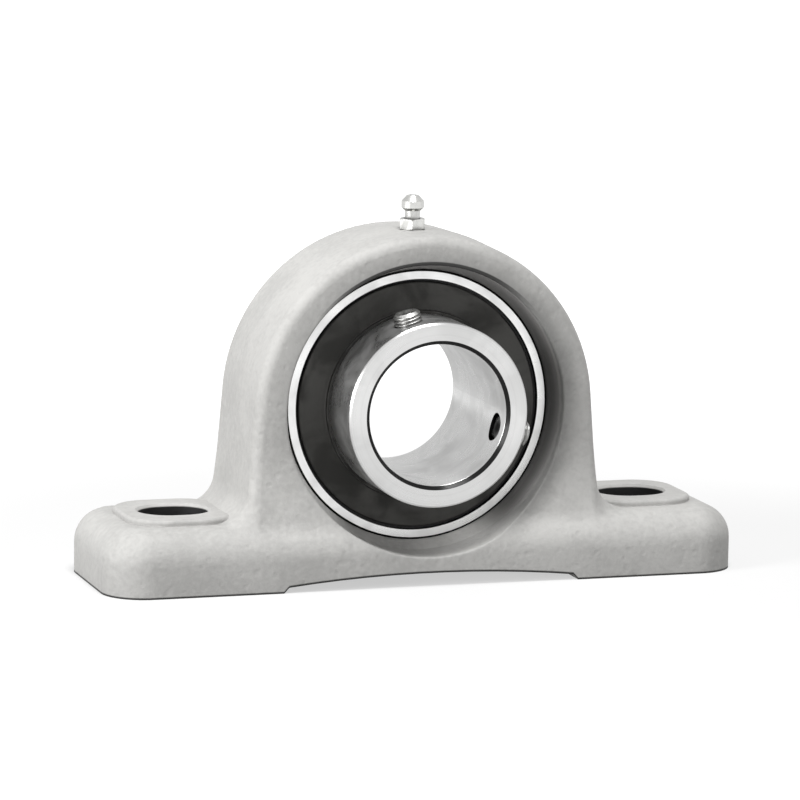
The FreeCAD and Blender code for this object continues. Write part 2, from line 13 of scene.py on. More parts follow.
import bmesh
import bpy
import numpy as np
from mathutils import Matrix, Vector


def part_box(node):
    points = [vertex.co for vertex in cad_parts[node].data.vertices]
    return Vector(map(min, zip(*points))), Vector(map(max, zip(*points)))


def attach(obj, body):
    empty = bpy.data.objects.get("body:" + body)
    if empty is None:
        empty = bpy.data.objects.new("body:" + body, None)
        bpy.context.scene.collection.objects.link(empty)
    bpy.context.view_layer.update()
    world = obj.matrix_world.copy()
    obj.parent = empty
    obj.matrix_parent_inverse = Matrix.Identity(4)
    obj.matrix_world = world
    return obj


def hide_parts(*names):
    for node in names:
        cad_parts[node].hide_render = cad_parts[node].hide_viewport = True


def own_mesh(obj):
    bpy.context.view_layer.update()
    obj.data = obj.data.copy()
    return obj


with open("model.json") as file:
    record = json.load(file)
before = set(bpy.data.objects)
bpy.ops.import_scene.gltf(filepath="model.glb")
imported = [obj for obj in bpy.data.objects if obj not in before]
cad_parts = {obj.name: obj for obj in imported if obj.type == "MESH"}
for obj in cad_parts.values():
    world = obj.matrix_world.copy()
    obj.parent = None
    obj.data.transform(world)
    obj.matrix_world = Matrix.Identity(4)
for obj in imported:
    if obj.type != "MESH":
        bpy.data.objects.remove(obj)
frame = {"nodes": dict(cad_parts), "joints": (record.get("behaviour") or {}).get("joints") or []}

MM = 0.001
SHARP_ANGLE = math.radians(35)
MERGE_DISTANCE = 0.001 * MM
SHAFT_HEIGHT = 49.2 * MM
LOG = logging.getLogger("pillow_block")

Color = tuple[float, float, float]
Socket = bpy.types.NodeSocket
Sockets = dict[str, Socket]


def opaque(color: Color) -> tuple[float, float, float, float]:
    """Give a colour its alpha of one."""
    return (*color, 1.0)


class Sheet:
    """A node tree with short calls that add nodes and join them."""

    def __init__(self, tree: bpy.types.NodeTree) -> None:
        """Keep the tree that the calls work on."""
        self.tree = tree

    def node(self, kind: str, inputs: dict | None = None, **settings: object) -> bpy.types.Node:
        """Add a node, set its properties and feed its inputs.

        Args:
            kind: Type of the node, without the words ShaderNode in front.
            inputs: Name or number of each input, with a value or the socket that feeds it.
            settings: Properties of the node.

        Returns:
            The new node.
        """
        made = self.tree.nodes.new("ShaderNode" + kind)
        for name, value in settings.items():
            setattr(made, name, value)
        for key, value in (inputs or {}).items():
            self.feed(made.inputs[key], value)
        return made

    def feed(self, socket: Socket, value: object) -> None:
        """Join a socket to an input, or set the input's own value."""
        if isinstance(value, bpy.types.NodeSocket):
            self.tree.links.new(value, socket)
        else:
            socket.default_value = value

    def math(self, operation: str, *values: object, clamp: bool = False) -> Socket:
        """Result of one sum, product or other operation on numbers."""
        node = self.node("Math", dict(enumerate(values)), operation=operation, use_clamp=clamp)
        return node.outputs[0]

    def times(self, first: object, second: object, clamp: bool = False) -> Socket:
        """Product of two numbers."""
        return self.math("MULTIPLY", first, second, clamp=clamp)

    def times_plus(self, first: object, second: object, third: object, clamp: bool = False) -> Socket:
        """Product of two numbers, plus a third."""
        return self.math("MULTIPLY_ADD", first, second, third, clamp=clamp)

    def spread(self, value: Socket, low: float, high: float, start: float = 0.0, end: float = 1.0) -> Socket:
        """Carry a value smoothly from one range to another.

        Args:
            value: The number to carry over.
            low: Value that gives start.
            high: Value that gives end.
            start: Result at and beyond low.
            end: Result at and beyond high.

        Returns:
            The socket of the result.
        """
        inputs = {"Value": value, "From Min": low, "From Max": high, "To Min": start, "To Max": end}
        return self.node("MapRange", inputs, interpolation_type="SMOOTHSTEP").outputs[0]

    def noise(self, vector: Socket, size: float, detail: float = 3.0, roughness: float = 0.55) -> Socket:
        """Fractal noise whose main features are as large as size, in metres."""
        inputs = {"Vector": vector, "Scale": 1.0 / size, "Detail": detail, "Roughness": roughness}
        return self.node("TexNoise", inputs).outputs[0]

    def blend(self, factor: object, first: object, second: object) -> Socket:
        """Mix two colours."""
        node = self.node("Mix", {0: factor, 6: first, 7: second}, data_type="RGBA")
        return node.outputs[2]

    def dim(self, factor: object, color: Socket, share: float) -> Socket:
        """Bring a colour down to a share of itself, where the factor is one."""
        inputs = {0: factor, 6: color, 7: opaque((share,) * 3)}
        return self.node("Mix", inputs, data_type="RGBA", blend_type="MULTIPLY").outputs[2]

    def object_point(self) -> Socket:
        """Place on the piece, in the model's frame."""
        return self.node("TexCoord").outputs["Object"]


class PortKind(Enum):
    """Kinds of socket on an effect."""

    NUMBER = "NodeSocketFloat"
    POINT = "NodeSocketVector"


class Effect(ABC):
    """A shader node group, built once and placed in each material with its own values."""

    title: str
    takes: dict[str, float | None]
    gives: tuple[str, ...]

    @abstractmethod
    def draw(self, sheet: Sheet, given: Sockets) -> Sockets:
        """Build the inside of the group.

        Args:
            sheet: The group's own nodes.
            given: The group's inputs by name.

        Returns:
            The socket that feeds each of the group's outputs.
        """

    def group(self) -> bpy.types.NodeTree:
        """Find the effect's node group, or build it at the first call."""
        found = bpy.data.node_groups.get(self.title)
        if found is not None:
            return found
        tree = bpy.data.node_groups.new(self.title, "ShaderNodeTree")
        for name, default in self.takes.items():
            kind = PortKind.POINT if default is None else PortKind.NUMBER
            port = tree.interface.new_socket(name=name, in_out="INPUT", socket_type=kind.value)
            if default is not None:
                port.default_value = default
        for name in self.gives:
            tree.interface.new_socket(name=name, in_out="OUTPUT", socket_type=PortKind.NUMBER.value)
        inside = tree.nodes.new("NodeGroupInput")
        outside = tree.nodes.new("NodeGroupOutput")
        sheet = Sheet(tree)
        for name, socket in self.draw(sheet, dict(inside.outputs.items())).items():
            tree.links.new(socket, outside.inputs[name])
        return tree

    def place(self, sheet: Sheet, **values: object) -> Sockets:
        """Put the effect in a material.

        Args:
            sheet: The material's nodes.
            values: Values or sockets for the effect's inputs.

        Returns:
            The effect's outputs by name.
        """
        node = sheet.tree.nodes.new("ShaderNodeGroup")
        node.node_tree = self.group()
        for name, value in values.items():
            sheet.feed(node.inputs[name], value)
        return dict(node.outputs.items())


class SandSkin(Effect):
    """Skin that a sand mould leaves on iron: fine grain, scattered pits and slow waves."""

    title = "sand_skin"
    takes = {"Point": None, "Grain": 0.0008}
    gives = ("Height", "Mottle")
    grains_per_pit = 3.0
    pit_range = (0.08, 0.34)
    wave_size = 12 * MM
    grain_weight, pit_weight, wave_weight = 0.5, 0.35, 0.6
    patch_size, speck_size = 26 * MM, 1.6 * MM
    patch_weight, speck_weight = 0.65, 0.35
    mottle_range = (0.36, 0.64)

    def draw(self, sheet: Sheet, given: Sockets) -> Sockets:
        """Add up noise of the grain's size, pits three grains apart and slow waves."""
        point = given["Point"]
        scale = sheet.math("DIVIDE", 1.0, given["Grain"])
        grain = sheet.node("TexNoise", {"Vector": point, "Scale": scale, "Detail": 4.0, "Roughness": 0.6})
        wider = sheet.math("DIVIDE", scale, self.grains_per_pit)
        cells = sheet.node("TexVoronoi", {"Vector": point, "Scale": wider}, feature="SMOOTH_F1")
        pits = sheet.spread(cells.outputs[0], *self.pit_range)
        waves = sheet.noise(point, self.wave_size, 2.0)
        height = sheet.times(grain.outputs[0], self.grain_weight)
        height = sheet.times_plus(pits, self.pit_weight, height)
        height = sheet.times_plus(waves, self.wave_weight, height)
        patches = sheet.times(sheet.noise(point, self.patch_size, 4.0, 0.6), self.patch_weight)
        specks = sheet.noise(point, self.speck_size, 2.0)
        mottle = sheet.times_plus(specks, self.speck_weight, patches)
        return {"Height": height, "Mottle": sheet.spread(mottle, *self.mottle_range)}


class ShaftPlace(Effect):
    """Distance from the shaft axis, and depth along it without its sign."""

    title = "shaft_place"
    takes = {"Point": None, "Axis Height": SHAFT_HEIGHT}
    gives = ("Radius", "Depth")

    def draw(self, sheet: Sheet, given: Sockets) -> Sockets:
        """Take the root of x squared plus z squared, z counted from the axis, and the size of y."""
        parts = sheet.node("SeparateXYZ", {0: given["Point"]}).outputs
        rise = sheet.math("SUBTRACT", parts[2], given["Axis Height"])
        across = sheet.times(parts[0], parts[0])
        radius = sheet.math("SQRT", sheet.times_plus(rise, rise, across))
        return {"Radius": radius, "Depth": sheet.math("ABSOLUTE", parts[1])}


class TurnedMarks(Effect):
    """Fine rings that a lathe or grinder leaves round the shaft axis, on faces and on cylinders."""

    title = "turned_marks"
    takes = {"Point": None, "Pitch": 0.0003}
    gives = ("Height", "Tone")
    coarse_pitch = 1.8 * MM
    fine_weight = 0.5

    def draw(self, sheet: Sheet, given: Sockets) -> Sockets:
        """Take noise at (radius, depth), which is the same all the way round the axis."""
        place = ShaftPlace().place(sheet, Point=given["Point"])
        ring = sheet.node("CombineXYZ", {0: place["Radius"], 1: place["Depth"]}).outputs[0]
        scale = sheet.math("DIVIDE", 1.0, given["Pitch"])
        fine = sheet.node("TexNoise", {"Vector": ring, "Scale": scale, "Detail": 3.0}).outputs[0]
        coarse = sheet.times(sheet.noise(ring, self.coarse_pitch, 2.0), 1 - self.fine_weight)
        return {"Height": fine, "Tone": sheet.times_plus(fine, self.fine_weight, coarse)}


class Handling(Effect):
    """Smears and light scuffs that handling leaves on bare metal."""

    title = "handling"
    takes = {"Point": None, "Size": 0.012}
    gives = ("Smear", "Scuff")
    scuff_size = 9 * MM
    scuff_turn = (0.4, 0.7, 0.2)
    scuff_stretch = (1.0, 14.0, 14.0)
    smear_range = (0.38, 0.66)
    scuff_range = (0.60, 0.72)

    def draw(self, sheet: Sheet, given: Sockets) -> Sockets:
        """Take soft patches of noise for smears, and stretched thin noise for scuffs."""
        scale = sheet.math("DIVIDE", 1.0, given["Size"])
        patch = sheet.node("TexNoise", {"Vector": given["Point"], "Scale": scale, "Detail": 5.0,
                                        "Roughness": 0.6, "Distortion": 0.6}).outputs[0]
        drawn = sheet.node("Mapping", {"Vector": given["Point"], "Rotation": self.scuff_turn,
                                       "Scale": self.scuff_stretch}).outputs[0]
        thin = sheet.noise(drawn, self.scuff_size, 5.0, 0.65)
        smear = sheet.spread(patch, *self.smear_range)
        return {"Smear": smear, "Scuff": sheet.spread(thin, *self.scuff_range)}


class EdgeWear(Effect):
    """Mask of the edges, where a coat thins and metal shines, broken up by noise."""

    title = "edge_wear"
    takes = {"Point": None, "Reach": 0.0006, "Patch": 0.003}
    gives = ("Mask",)
    edge_range = (0.995, 0.90)
    patch_range = (0.42, 0.60)

    def draw(self, sheet: Sheet, given: Sockets) -> Sockets:
        """Compare the face's normal with one averaged over the reach, which differ only near an edge."""
        soft = sheet.node("Bevel", {"Radius": given["Reach"]}, samples=6).outputs[0]
        plain = sheet.node("NewGeometry").outputs["Normal"]
        alike = sheet.node("VectorMath", {0: soft, 1: plain}, operation="DOT_PRODUCT").outputs["Value"]
        scale = sheet.math("DIVIDE", 1.0, given["Patch"])
        patch = sheet.node("TexNoise", {"Vector": given["Point"], "Scale": scale, "Detail": 4.0}).outputs[0]
        broken = sheet.spread(patch, *self.patch_range)
        return {"Mask": sheet.times(sheet.spread(alike, *self.edge_range), broken)}


class Recess(Effect):
    """Mask of corners and hollows, from ambient occlusion, which the finishes use for painted shade there.
    """

    title = "recess"
    takes = {"Point": None, "Reach": 0.006}
    gives = ("Mask",)
    patch_size = 2.5 * MM
    patch_range = (0.2, 0.7)
    least_share = 0.6

    def draw(self, sheet: Sheet, given: Sockets) -> Sockets:
        """Take the share of the near surroundings that is closed off, roughened by noise."""
        open_share = sheet.node("AmbientOcclusion", {"Distance": given["Reach"]}, samples=8).outputs["AO"]
        patch = sheet.noise(given["Point"], self.patch_size, 4.0)
        rough = sheet.spread(patch, *self.patch_range, self.least_share, 1.0)
        closed = sheet.math("SUBTRACT", 1.0, open_share)
        return {"Mask": sheet.times(closed, rough, clamp=True)}


class PieceSheet(Sheet):
    """A material's nodes, with sockets for the place on the piece: point, coordinates, radius and depth."""

    def __init__(self, tree: bpy.types.NodeTree) -> None:
        """Work the sockets out with nodes of the tree."""
        super().__init__(tree)
        self.point = self.object_point()
        self.x, self.y, self.z = self.node("SeparateXYZ", {0: self.point}).outputs
        place = ShaftPlace().place(self, Point=self.point)
        self.radius, self.depth = place["Radius"], place["Depth"]


class Marks(Enum):
    """How a bare metal surface was made."""

    TURNED = "turned"
    PRESSED = "pressed"
    POLISHED = "polished"


@dataclass(frozen=True)
class Finish(ABC):
    """A surface finish that makes its own material."""

    name: str
    color: Color
    roughness: float

    @abstractmethod
    def dress(self, sheet: PieceSheet, shader: bpy.types.Node) -> None:
        """Feed the shader from the finish's own nodes.

        Args:
            sheet: The material's nodes.
            shader: The Principled shader of the material.
        """

    def material(self) -> bpy.types.Material:
        """Find the finish's material, or build it at the first call."""
        label = self.name + "_finish"
        found = bpy.data.materials.get(label)
        if found is not None:
            return found
        made = bpy.data.materials.new(label)
        made.use_nodes = True
        shader = next(node for node in made.node_tree.nodes if node.type == "BSDF_PRINCIPLED")
        self.dress(PieceSheet(made.node_tree), shader)
        return made


def shade(color: Color, factor: float) -> tuple[float, float, float, float]:
    """Darken or lighten a colour by a factor."""
    return opaque(tuple(min(1.0, part * factor) for part in color))


@dataclass(frozen=True)
class CastIron(Finish):
    """Light coat on a sand casting, left bare and turned inside the mouth and milled under the foot.

    Each number ending in dark or light is a share of the plain colour. Each pair gives the places
    between which a mask changes.
    """

    specular: float = 0.35
    grain: float = 1.0 * MM
    grain_depth: float = 0.22 * MM
    grain_strength: float = 0.8
    corner_softness: float = 0.5 * MM
    roughness_swing: float = 0.12
    mottle_dark: float = 0.88
    mottle_light: float = 1.07
    worn_reach: float = 0.9 * MM
    worn_share: float = 0.35
    worn_light: float = 1.22
    # Painted shade in corners and hollows, from ambient occlusion.
    corner_shade_reach: float = 15.0 * MM
    corner_shade_share: float = 0.55
    corner_shade_dark: float = 0.42
    bare_color: Color = (0.46, 0.45, 0.44)
    bare_roughness: float = 0.50
    bare_contrast: float = 0.3
    bare_metallic: float = 0.4
    lathe_height: float = 0.25
    milled_height: float = 0.1 * MM
    mouth_radius: float = 41.0 * MM
    mouth_edge: float = 0.35 * MM
    wrap: tuple[float, float] = (16.2 * MM, 18.2 * MM)
    wrap_ragged: float = 3.0 * MM
    # Painted shade on the bare metal deep in the mouth, strongest at its right.
    deep_shade_dark: float = 0.24
    deep_shade_depth: float = 11.5 * MM
    deep_shade_left: float = 0.1
    deep_shade_across: tuple[float, float] = (-20.5 * MM, 36.9 * MM)
    # Painted shade on the coat beside the mouth, stronger at its right.
    mouth_shade_dark: float = 0.55
    mouth_shade_reach: float = 9.0 * MM
    mouth_shade_patch: float = 6.0 * MM
    mouth_shade_ragged: float = 4.0 * MM
    mouth_shade_left: float = 0.4
    # Painted shadow line on the upper edge of the mouth.
    top_edge_shadow_dark: float = 0.12
    top_edge_shadow_offset: float = 0.3 * MM
    top_edge_shadow_width: tuple[float, float] = (0.4 * MM, 0.8 * MM)
    top_edge_shadow_rise: tuple[float, float] = (24.0 * MM, 38.0 * MM)
    # Share of the painted shade left out on the low lip of the mouth.
    lip_unshade: float = 0.9
    lip_tilt: float = 0.35
    lip_height: tuple[float, float] = (16.0 * MM, 32.0 * MM)
    lip_edge: tuple[float, float] = (0.5 * MM, 2.0 * MM)
    # Painted shade line along the lower edge of the foot and its relief.
    base_shade_dark: float = 0.05
    base_shade_height: tuple[float, float] = (0.35 * MM, 0.75 * MM)
    base_shade_facing: tuple[float, float] = (0.5, 0.9)
    relief_end: float = 43.5 * MM
    relief_half: float = 42.0 * MM
    relief_step: float = 1.6 * MM
    relief_top: float = 3.9 * MM
    # Painted near-black shade on the walls of the bolt slots.
    slot_shade_color: Color = (0.012, 0.012, 0.012)
    slot_x: float = 68.5 * MM
    slot_half_straight: float = 1.5 * MM
    slot_radius: float = 8.5 * MM
    slot_wall: tuple[float, float] = (0.15 * MM, 0.30 * MM)
    slot_top: tuple[float, float] = (19.1 * MM, 19.5 * MM)

    def dress(self, sheet: PieceSheet, shader: bpy.types.Node) -> None:
        """Mix the coated skin with the bare turned mouth, the worn edges and the painted shade in the
        corners.
        """
        skin = SandSkin().place(sheet, Point=sheet.point, Grain=self.grain)
        turned = TurnedMarks().place(sheet, Point=sheet.point)
        bare = self.bare_mask(sheet)
        color = sheet.blend(bare, self.coat(sheet, skin["Mottle"]), self.metal(sheet, turned["Tone"]))
        # Painted shadow: a thin dark line along the mouth's upper edge.
        color = sheet.dim(self.top_edge_shadow_mask(sheet), color, self.top_edge_shadow_dark)
        # Painted shade: the walls of the bolt slots are near black.
        color = sheet.blend(self.slot_shade_mask(sheet), color, opaque(self.slot_shade_color))
        sheet.feed(shader.inputs["Base Color"], color)
        low = self.roughness - self.roughness_swing / 2
        rough = sheet.times_plus(skin["Mottle"], self.roughness_swing, low)
        gap = sheet.math("SUBTRACT", self.bare_roughness, rough)
        sheet.feed(shader.inputs["Roughness"], sheet.times_plus(gap, bare, rough))
        sheet.feed(shader.inputs["Metallic"], sheet.times(bare, self.bare_metallic))
        covered = sheet.math("SUBTRACT", 1.0, bare)
        height = sheet.times(skin["Height"], covered)
        lathe = sheet.times(turned["Height"], bare)
        height = sheet.times_plus(lathe, self.lathe_height, height)
        soft = sheet.node("Bevel", {"Radius": self.corner_softness}, samples=6).outputs[0]
        bump = sheet.node("Bump", {"Strength": self.grain_strength, "Distance": self.grain_depth,
                                   "Height": height, "Normal": soft})
        sheet.feed(shader.inputs["Normal"], bump.outputs[0])
        shader.inputs["Specular IOR Level"].default_value = self.specular

    def coat(self, sheet: PieceSheet, mottle: Socket) -> Socket:
        """Colour of the coat, with bright worn edges and painted shade: in corners and hollows, beside the
        mouth and in a thin line along the lower edge.

        Args:
            sheet: The material's nodes.
            mottle: Slow change of the coat's tone.

        Returns:
            Its socket.
        """
        edge = EdgeWear().place(sheet, Point=sheet.point, Reach=self.worn_reach)["Mask"]
        recess = Recess().place(sheet, Point=sheet.point, Reach=self.corner_shade_reach)["Mask"]
        coat = sheet.blend(mottle, shade(self.color, self.mottle_dark), shade(self.color, self.mottle_light))
        worn = sheet.times(edge, self.worn_share)
        coat = sheet.blend(worn, coat, shade(self.color, self.worn_light))
        lip = self.lip_mask(sheet)
        near, far = self.lip_edge
        inner = sheet.spread(sheet.radius, self.mouth_radius + far, self.mouth_radius + near)
        # Painted shade: the coat is darkened in corners and hollows found by ambient occlusion, but not on
        # the low lip of the mouth.
        corner_shade_kept = sheet.times_plus(sheet.times(lip, inner), -self.lip_unshade, 1.0)
        corner_shade = sheet.times(sheet.times(recess, self.corner_shade_share), corner_shade_kept)
        coat = sheet.blend(corner_shade, coat, shade(self.color, self.corner_shade_dark))
        # Painted shade: the coat beside the mouth is darkened, most at its right, but not over the low lip.
        mouth_shade_kept = sheet.times_plus(lip, -self.lip_unshade, 1.0)
        mouth_shade = sheet.times(self.mouth_shade_mask(sheet), mouth_shade_kept)
        coat = sheet.dim(mouth_shade, coat, self.mouth_shade_dark)
        # Painted shade: a thin dark line along the lower edge of the foot and of its relief.
        return sheet.dim(self.base_shade_mask(sheet), coat, self.base_shade_dark)

    def metal(self, sheet: PieceSheet, tone: Socket) -> Socket:
        """Colour of the bare metal, with painted shade deep in the mouth, most of all at its right.

        Args:
            sheet: The material's nodes.
            tone: Tone of the lathe's marks.

        Returns:
            Its socket.
        """
        dark = shade(self.bare_color, 1 - self.bare_contrast)
        light = shade(self.bare_color, 1 + self.bare_contrast)
        # Painted shade: the bare metal darkens with depth in the mouth, most of all at its right.
        deep_shade = sheet.spread(sheet.depth, self.wrap[1], self.deep_shade_depth)
        side = sheet.spread(sheet.x, *self.deep_shade_across, self.deep_shade_left, 1.0)
        return sheet.dim(sheet.times(deep_shade, side), sheet.blend(tone, dark, light), self.deep_shade_dark)

    def bare_mask(self, sheet: PieceSheet) -> Socket:
        """Mask that is one inside the turned mouth and on the milled underside.

        The coat wraps a ragged way round the mouth's edge. Noise is a half on average, so half of the
        ragged width is added to the places where the wrap starts and ends.

        Args:
            sheet: The material's nodes.

        Returns:
            Its socket.
        """
        mouth = sheet.spread(sheet.radius, self.mouth_radius + self.mouth_edge, self.mouth_radius)
        noise = sheet.noise(sheet.point, self.wrap_ragged, 4.0)
        ragged = sheet.times_plus(noise, self.wrap_ragged, sheet.depth)
        start, end = (depth + self.wrap_ragged / 2 for depth in self.wrap)
        inside = sheet.spread(ragged, end, start)
        under = sheet.spread(sheet.z, self.milled_height, self.milled_height / 2)
        above_lip = sheet.math("SUBTRACT", 1.0, self.lip_mask(sheet))
        inside = sheet.times(inside, above_lip)
        return sheet.math("MAXIMUM", sheet.times(mouth, inside), under)

    def lip_mask(self, sheet: PieceSheet) -> Socket:
        """Mask of the low part of the mouth, where the coat runs in and the painted shade is left out.

        It goes by the height plus a share of the way to the right, so it reaches higher on the left.

        Args:
            sheet: The material's nodes.

        Returns:
            Its socket.
        """
        low, high = self.lip_height
        tilted = sheet.times_plus(sheet.x, self.lip_tilt, sheet.z)
        return sheet.spread(tilted, high, low)

    def mouth_shade_mask(self, sheet: PieceSheet) -> Socket:
        """Mask of painted shade on the coat beside the mouth, stronger at its right.

        It is one at the mouth's edge and falls with the square of the way to the end of its reach.

        Args:
            sheet: The material's nodes.

        Returns:
            Its socket.
        """
        noise = sheet.noise(sheet.point, self.mouth_shade_patch, 4.0)
        ragged = sheet.times_plus(noise, self.mouth_shade_ragged, sheet.radius)
        edge = self.mouth_radius + self.mouth_shade_ragged / 2
        near = sheet.spread(ragged, edge + self.mouth_shade_reach, edge)
        side = sheet.spread(sheet.x, -self.mouth_radius, self.mouth_radius, self.mouth_shade_left, 1.0)
        return sheet.times(side, sheet.times(near, near))

    def base_shade_mask(self, sheet: PieceSheet) -> Socket:
        """Mask of a thin painted shade line along the lower edge of the foot and of its relief.

        The edge's height is nought under the ends of the foot. Under the relief it is the lower of two
        heights: step * (end - |x|) / (end - half), and top - (top - step) * (x / half) squared. Faces
        that look down are left out.

        Args:
            sheet: The material's nodes.

        Returns:
            Its socket.
        """
        slope = self.relief_step / (self.relief_end - self.relief_half)
        inward = sheet.math("SUBTRACT", self.relief_end, sheet.math("ABSOLUTE", sheet.x))
        step = sheet.times(inward, slope)
        share = sheet.math("DIVIDE", sheet.x, self.relief_half)
        square = sheet.times(share, share)
        drop = sheet.times(square, self.relief_top - self.relief_step)
        arch = sheet.math("SUBTRACT", self.relief_top, drop)
        edge = sheet.math("MAXIMUM", sheet.math("MINIMUM", step, arch), 0.0)
        full, faded = self.base_shade_height
        line = sheet.spread(sheet.math("SUBTRACT", sheet.z, edge), faded, full)
        normal = sheet.node("NewGeometry").outputs["Normal"]
        facing = sheet.math("ABSOLUTE", sheet.node("SeparateXYZ", {0: normal}).outputs[2])
        upright, level = self.base_shade_facing
        return sheet.times(line, sheet.spread(facing, level, upright))

    def top_edge_shadow_mask(self, sheet: PieceSheet) -> Socket:
        """Mask of a thin painted shadow line on the upper edge of the mouth.

        Args:
            sheet: The material's nodes.

        Returns:
            Its socket.
        """
        past = sheet.math("SUBTRACT", sheet.radius, self.mouth_radius + self.top_edge_shadow_offset)
        full, faded = self.top_edge_shadow_width
        line = sheet.spread(sheet.math("ABSOLUTE", past), faded, full)
        outside = sheet.spread(sheet.depth, *self.wrap)
        start, end = self.top_edge_shadow_rise
        upper = sheet.spread(sheet.z, SHAFT_HEIGHT + start, SHAFT_HEIGHT + end)
        return sheet.times(sheet.times(line, outside), upper)

    def slot_shade_mask(self, sheet: PieceSheet) -> Socket:
        """Mask that is one on the walls of the bolt slots, which are painted near black as shade.

        The wall is where the distance from the slot's straight middle line is the slot's radius.

        Args:
            sheet: The material's nodes.

        Returns:
            Its socket.
        """
        lengthwise = sheet.math("SUBTRACT", sheet.math("ABSOLUTE", sheet.x), self.slot_x)
        aside = sheet.math("ABSOLUTE", lengthwise)
        past = sheet.math("MAXIMUM", sheet.math("SUBTRACT", aside, self.slot_half_straight), 0.0)
        across = sheet.times(sheet.y, sheet.y)
        distance = sheet.math("SQRT", sheet.times_plus(past, past, across))
        full, faded = self.slot_wall
        near = sheet.spread(distance, self.slot_radius + faded, self.slot_radius + full)
        below, top = self.slot_top
        return sheet.times(near, sheet.spread(sheet.z, top, below))


@dataclass(frozen=True)
class ShadeBand:
    """Stretch of a piece, by radius from the shaft axis and depth from the middle plane, that is darker with
    painted shade.
    """

    radii: tuple[float, float]
    depths: tuple[float, float]
    share: float
    blur: float = 0.06 * MM

    def mask(self, sheet: PieceSheet) -> Socket:
        """Mask that is one inside the stretch.

        Args:
            sheet: The material's nodes.

        Returns:
            Its socket.
        """
        inside: object = 1.0
        for socket, (low, high) in ((sheet.radius, self.radii), (sheet.depth, self.depths)):
            inside = sheet.times(inside, sheet.spread(socket, low - self.blur, low))
            inside = sheet.times(inside, sheet.spread(socket, high + self.blur, high))
        return inside


@dataclass(frozen=True)
class BareMetal(Finish):
    """Uncoated or thinly plated metal, with the marks of how it was made."""

    marks: Marks = Marks.TURNED
    pitch: float = 0.25 * MM
    sheet_patch: float = 4.0 * MM
    polish_patch: float = 2.0 * MM
    depth: float = 0.006 * MM
    strength: float = 0.6
    contrast: float = 0.12
    roughness_swing: float = 0.10
    wear: float = 0.5
    worn_reach: float = 0.35 * MM
    worn_color: Color = (0.86, 0.86, 0.85)
    smear: float = 0.10
    smear_dark: float = 0.55
    scuff: float = 0.08
    # Painted shade in corners and hollows, from ambient occlusion.
    recess_shade: float = 0.5
    recess_shade_dark: float = 0.06
    recess_shade_reach: float = 2.5 * MM
    recess_shade_closed: tuple[float, float] = (0.12, 0.55)
    brushing: float = 0.8
    quarter_turn: float = 0.25
    # Bands of painted shade.
    shade_bands: tuple[ShadeBand, ...] = ()

    def dress(self, sheet: PieceSheet, shader: bpy.types.Node) -> None:
        """Shade the colour and roughness by the marks, the smears, the scuffs and the bright edges, and
        paint shade into the hollows and the bands.
        """
        handled = Handling().place(sheet, Point=sheet.point)
        edge = EdgeWear().place(sheet, Point=sheet.point, Reach=self.worn_reach)["Mask"]
        recess = Recess().place(sheet, Point=sheet.point, Reach=self.recess_shade_reach)["Mask"]
        tone, height = self.tooling(sheet)
        dark, light = shade(self.color, 1 - self.contrast), shade(self.color, 1 + self.contrast)
        color = sheet.blend(tone, dark, light)
        smeared = sheet.times(handled["Smear"], self.smear)
        color = sheet.blend(smeared, color, shade(self.color, self.smear_dark))
        color = sheet.blend(sheet.times(edge, self.wear), color, opaque(self.worn_color))
        # Painted shade: darker in corners and hollows found by ambient occlusion.
        color = sheet.dim(sheet.spread(recess, *self.recess_shade_closed, 0.0, self.recess_shade), color, self.recess_shade_dark)
        # Painted shade and painted reflection in the listed bands.
        for shade_band in self.shade_bands:
            color = sheet.dim(shade_band.mask(sheet), color, shade_band.share)
        sheet.feed(shader.inputs["Base Color"], color)
        low = self.roughness - self.roughness_swing / 2
        rough = sheet.times_plus(tone, self.roughness_swing, low)
        rough = sheet.times_plus(handled["Smear"], self.smear, rough)
        rough = sheet.times_plus(handled["Scuff"], self.scuff, rough, clamp=True)
        sheet.feed(shader.inputs["Roughness"], rough)
        bump = sheet.node("Bump", {"Strength": self.strength, "Distance": self.depth, "Height": height})
        sheet.feed(shader.inputs["Normal"], bump.outputs[0])
        shader.inputs["Metallic"].default_value = 1.0
        if self.marks is Marks.TURNED:
            self.brush(sheet, shader)

    def brush(self, sheet: PieceSheet, shader: bpy.types.Node) -> None:
        """Draw highlights out across the turned marks, as fine grooves round the shaft axis do.

        The grooves run along (z - H, 0, -x), with H the height of the axis, and the highlight is turned
        a quarter from them.

        Args:
            sheet: The material's nodes.
            shader: The Principled shader of the material.
        """
        rise = sheet.math("SUBTRACT", sheet.z, SHAFT_HEIGHT)
        groove = sheet.node("CombineXYZ", {0: rise, 2: sheet.times(sheet.x, -1.0)}).outputs[0]
        turned = sheet.node("VectorTransform", {0: groove}, vector_type="VECTOR", convert_from="OBJECT",
                            convert_to="WORLD").outputs[0]
        sheet.feed(shader.inputs["Tangent"], turned)
        shader.inputs["Anisotropic"].default_value = self.brushing
        shader.inputs["Anisotropic Rotation"].default_value = self.quarter_turn

    def tooling(self, sheet: PieceSheet) -> tuple[Socket, Socket]:
        """Tone and height of the marks.

        Args:
            sheet: The material's nodes.

        Returns:
            The sockets of the tone and of the height.
        """
        point = sheet.point
        if self.marks is Marks.TURNED:
            turned = TurnedMarks().place(sheet, Point=point, Pitch=self.pitch)
            return turned["Tone"], turned["Height"]
        if self.marks is Marks.PRESSED:
            grain = sheet.noise(point, self.pitch * 2, 3.0)
            return sheet.noise(point, self.sheet_patch, 4.0), grain
        fine = sheet.noise(point, self.pitch, 2.0)
        return sheet.noise(point, self.polish_patch, 2.0), fine


